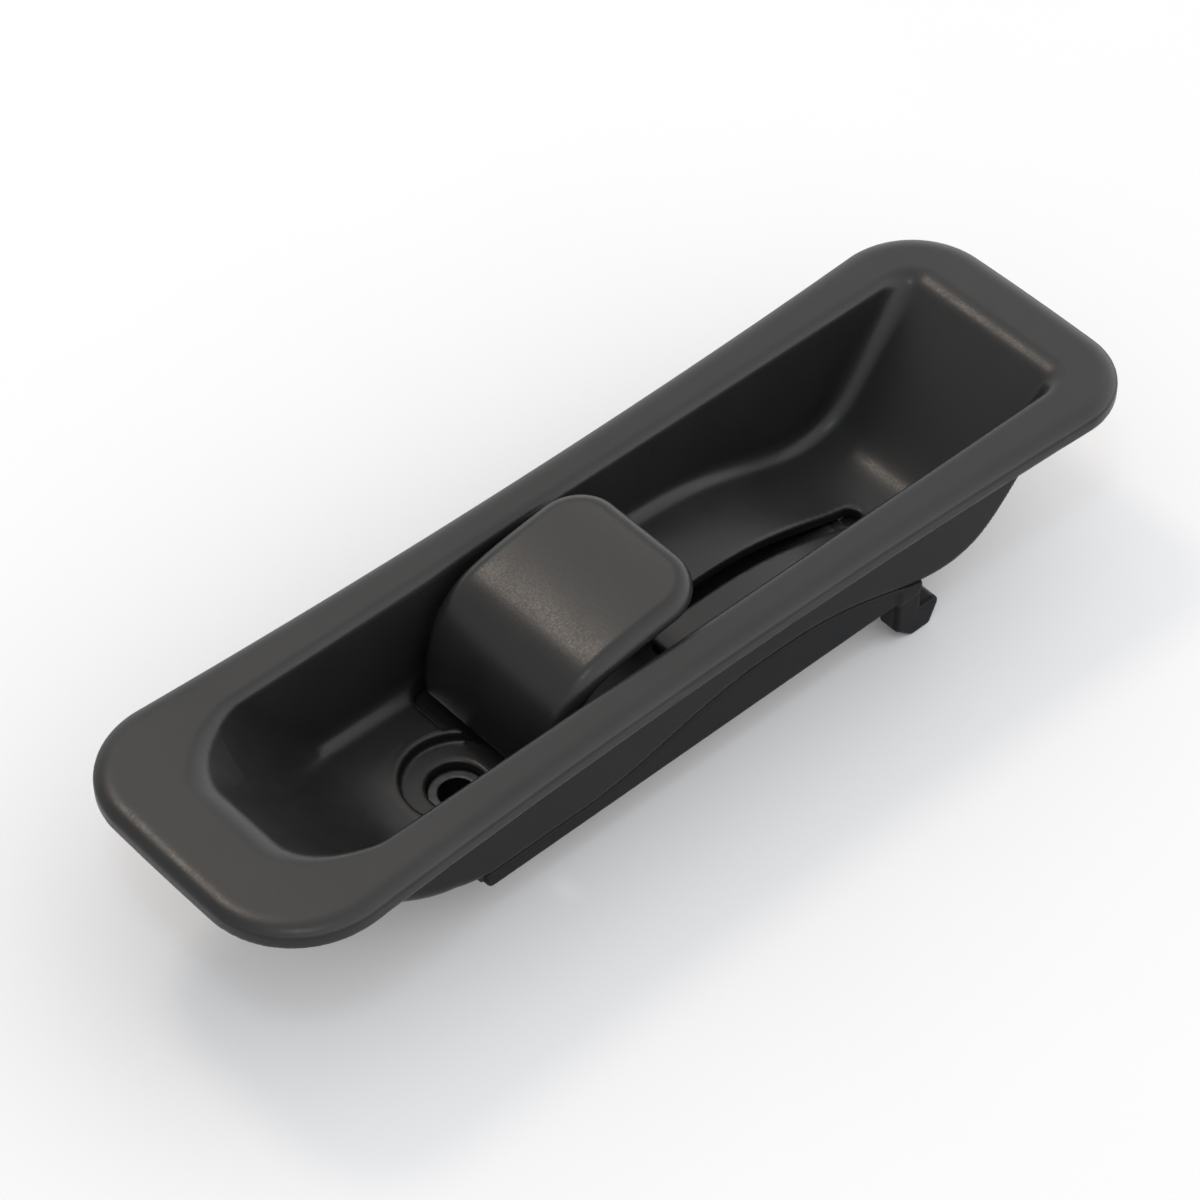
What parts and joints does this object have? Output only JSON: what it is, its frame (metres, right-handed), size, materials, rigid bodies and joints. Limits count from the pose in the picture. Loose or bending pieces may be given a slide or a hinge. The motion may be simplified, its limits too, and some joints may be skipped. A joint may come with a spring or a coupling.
{
  "type": "interior door release handle",
  "caption": "Recessed inside door handle: a waisted flange and tub around a sprung, pivoting two-finger paddle that pulls a release cable.",
  "frame": {"origin": "centre of the part's box, on the plane through the tips of the snap hooks and the screw boss, where the part stands", "axes": "+X along the handle towards the finger well, +Y across it, +Z out of the recess towards the hand"},
  "size_m": [0.19, 0.0565, 0.0429],
  "materials": {
    "black_plastic": "fine satin grain",
    "frame_plastic": "plain moulded",
    "white_plastic": "smooth acetal",
    "steel": "zinc plated",
    "spring_steel": "drawn wire",
    "rubber": "matt",
    "foam": "closed cell",
    "dark_steel": "phosphated"
  },
  "bodies": {
    "housing": {"bezel_tub": "black_plastic", "trim_gasket": "foam", "fixing_sleeve": "dark_steel", "side_frame": "frame_plastic", "frame_screws": "steel", "rattle_pads": "foam", "cable_anchor": "frame_plastic", "anchor_screw": "steel", "closed_stop_pad": "rubber", "open_stop_pad": "rubber", "pivot_pin": "steel", "pin_clip": "spring_steel", "spring_sleeve": "white_plastic", "return_spring": "spring_steel"},
    "paddle": {"paddle_cover": "black_plastic", "paddle_lever": "frame_plastic", "cover_screws": "steel", "bush_near": "white_plastic", "bush_far": "white_plastic"},
    "barrel": {"cable_barrel": "steel"}
  },
  "joints": [
    {"name": "paddle_pull", "type": "hinge", "parent": "housing", "child": "paddle", "pos_m": [-0.024, 0, 0.02], "axis": [0, -1, 0], "range_deg": [0, 30], "stiffness_Nm_per_rad": 0.12, "springref_deg": -34.38, "deforming": ["return_spring"]},
    {"name": "barrel_turn", "type": "hinge", "parent": "paddle", "child": "barrel", "pos_m": [-0.022, 0.008, 0.0045], "axis": [0, -1, 0], "range_deg": [-32, 2]}
  ],
  "couplings": [
    {"joint": "barrel_turn", "follows": "paddle_pull", "ratio": -1}
  ]
}
